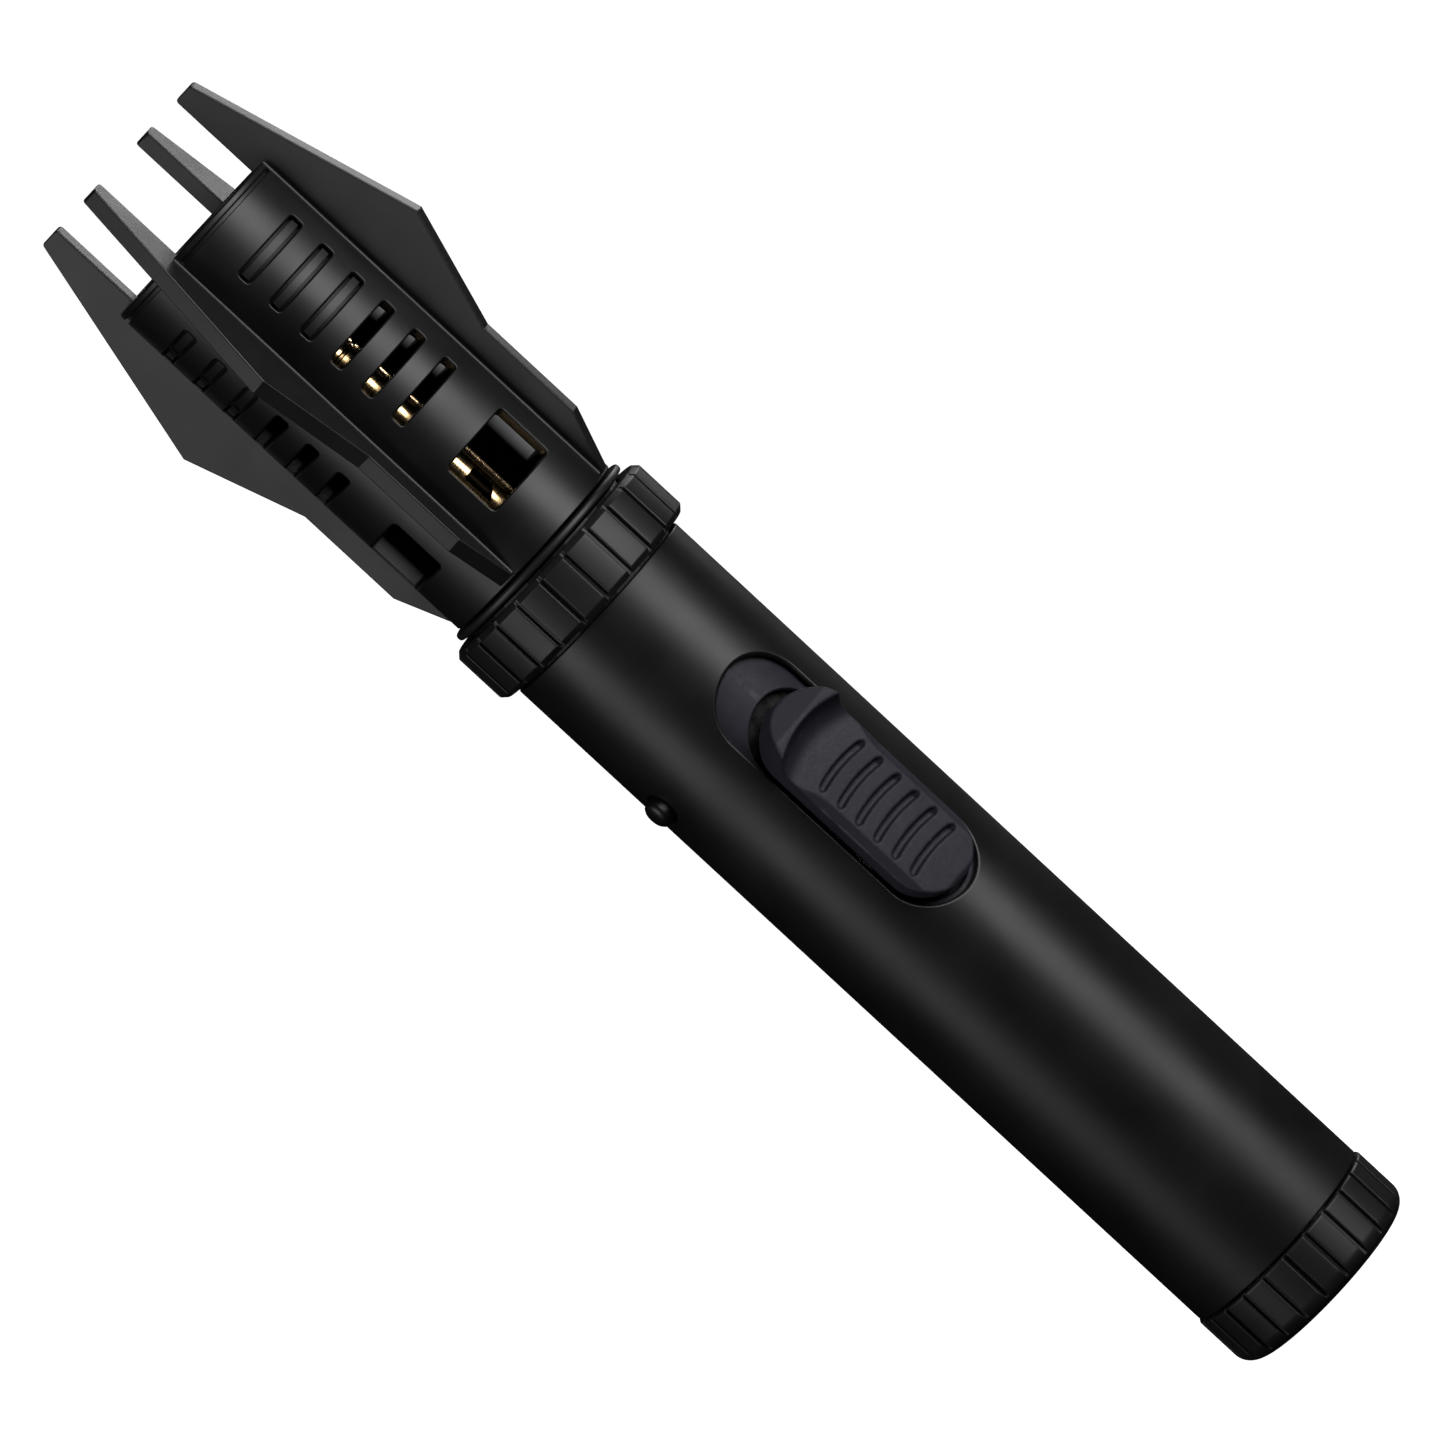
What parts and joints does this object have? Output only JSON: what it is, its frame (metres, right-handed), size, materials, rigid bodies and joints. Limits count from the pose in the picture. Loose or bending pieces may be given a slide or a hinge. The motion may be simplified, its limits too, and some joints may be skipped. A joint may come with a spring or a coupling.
{
  "type": "refillable torch lighter",
  "caption": "Pen-shaped butane torch lighter: finned, slotted flame guard over a brass burner, thumb slide with lock stud, tiled flame ring and screw base cap.",
  "frame": {"origin": "centre of the base cap's flat end, where the lighter stands", "axes": "+Z along the lighter to the flame end, -Y the thumb slide's side, -X the lock stud's side"},
  "size_m": [0.0332, 0.0344, 0.2023],
  "materials": {
    "black_paint": "satin",
    "black_satin": "satin",
    "charcoal_plastic": "fine matte moulded",
    "frame_plastic": "moulded",
    "clear_nylon": "milky",
    "brass": "polished",
    "steel": "turned",
    "spring_steel": "drawn wire",
    "rubber": "moulded",
    "felt": "pressed felt",
    "ceramic": "glazed",
    "piezo_plastic": "moulded",
    "lead_sheath": "sheathed wire",
    "hose_rubber": "extruded"
  },
  "bodies": {
    "housing": {"flame_guard": "black_paint", "seat_ring": "black_satin", "body_tube": "black_paint", "slide_bed": "charcoal_plastic", "chassis_left": "frame_plastic", "chassis_right": "frame_plastic", "chassis_screw_1": "steel", "chassis_screw_2": "steel", "lever_pin": "steel", "neck_bush": "black_satin", "burner_head": "steel", "flame_disc": "steel", "electrode_rod": "steel", "end_plug": "steel", "trigger_spring": "spring_steel", "lock_spring": "spring_steel", "valve_spring": "spring_steel", "fill_valve_spring": "spring_steel", "burner_tube": "brass", "jet_nozzle": "brass", "regulator_body": "brass", "valve_body": "brass", "fill_valve_body": "brass", "valve_seal": "rubber", "tank_o_ring": "rubber", "fill_valve_seal": "rubber", "fuel_filter": "felt", "electrode_insulator": "ceramic", "piezo_body": "piezo_plastic", "ignition_lead": "lead_sheath", "gas_hose": "hose_rubber", "fuel_tank": "clear_nylon", "tank_lid": "clear_nylon"},
    "trigger": {"slide_trigger": "charcoal_plastic", "trigger_carriage": "frame_plastic"},
    "plunger": {"piezo_plunger": "ceramic"},
    "lever": {"valve_lever": "steel"},
    "valve_stem": {"valve_stem": "brass"},
    "lock": {"lock_button": "black_paint"},
    "flame_adjuster": {"neck_collar": "black_satin", "adjuster_pin": "steel", "adjuster_wheel": "brass"},
    "cap_washer": {"cap_seal": "rubber"},
    "screw_cap": {"base_cap": "black_satin"},
    "fill_stem": {"fill_valve_stem": "brass"}
  },
  "joints": [
    {"name": "trigger_slide", "type": "slide", "parent": "housing", "child": "trigger", "axis": [0, 0, 1], "range_m": [0, 0.0052], "stiffness_N_per_m": 500, "springref_m": -0.005, "deforming": ["trigger_spring"]},
    {"name": "plunger_push", "type": "slide", "parent": "housing", "child": "plunger", "axis": [0, 0, 1], "range_m": [0, 0.0052]},
    {"name": "lever_swing", "type": "hinge", "parent": "housing", "child": "lever", "pos_m": [0, 0.0066, 0.072], "axis": [-1, 0, 0], "range_deg": [0, 18.5]},
    {"name": "valve_stem_lift", "type": "slide", "parent": "housing", "child": "valve_stem", "axis": [0, 0, 1], "range_m": [0, 0.0017], "deforming": ["valve_spring"]},
    {"name": "lock_push", "type": "slide", "parent": "housing", "child": "lock", "axis": [1, 0, 0], "range_m": [0, 0.0012], "stiffness_N_per_m": 700, "springref_m": -0.001, "deforming": ["lock_spring"]},
    {"name": "flame_ring_turn", "type": "hinge", "parent": "housing", "child": "flame_adjuster", "pos_m": [0, 0, 0.127], "axis": [0, 0, 1], "range_deg": [-50, 50]},
    {"name": "cap_lift", "type": "slide", "parent": "housing", "child": "cap_washer", "axis": [0, 0, -1], "range_m": [0, 0.0038]},
    {"name": "cap_twist", "type": "hinge", "parent": "cap_washer", "child": "screw_cap", "pos_m": [0, 0, 0], "axis": [0, 0, -1], "range_deg": [0, 1080]},
    {"name": "fill_valve_push", "type": "slide", "parent": "housing", "child": "fill_stem", "axis": [0, 0, 1], "range_m": [0, 0.0015], "stiffness_N_per_m": 500, "springref_m": -0.002, "deforming": ["fill_valve_spring"]}
  ],
  "couplings": [
    {"joint": "plunger_push", "follows": "trigger_slide", "ratio": 1},
    {"joint": "lever_swing", "follows": "trigger_slide", "rad_per_m": 62},
    {"joint": "valve_stem_lift", "follows": "trigger_slide", "ratio": 0.32},
    {"joint": "cap_lift", "follows": "cap_twist", "m_per_rad": 0.00019894}
  ]
}
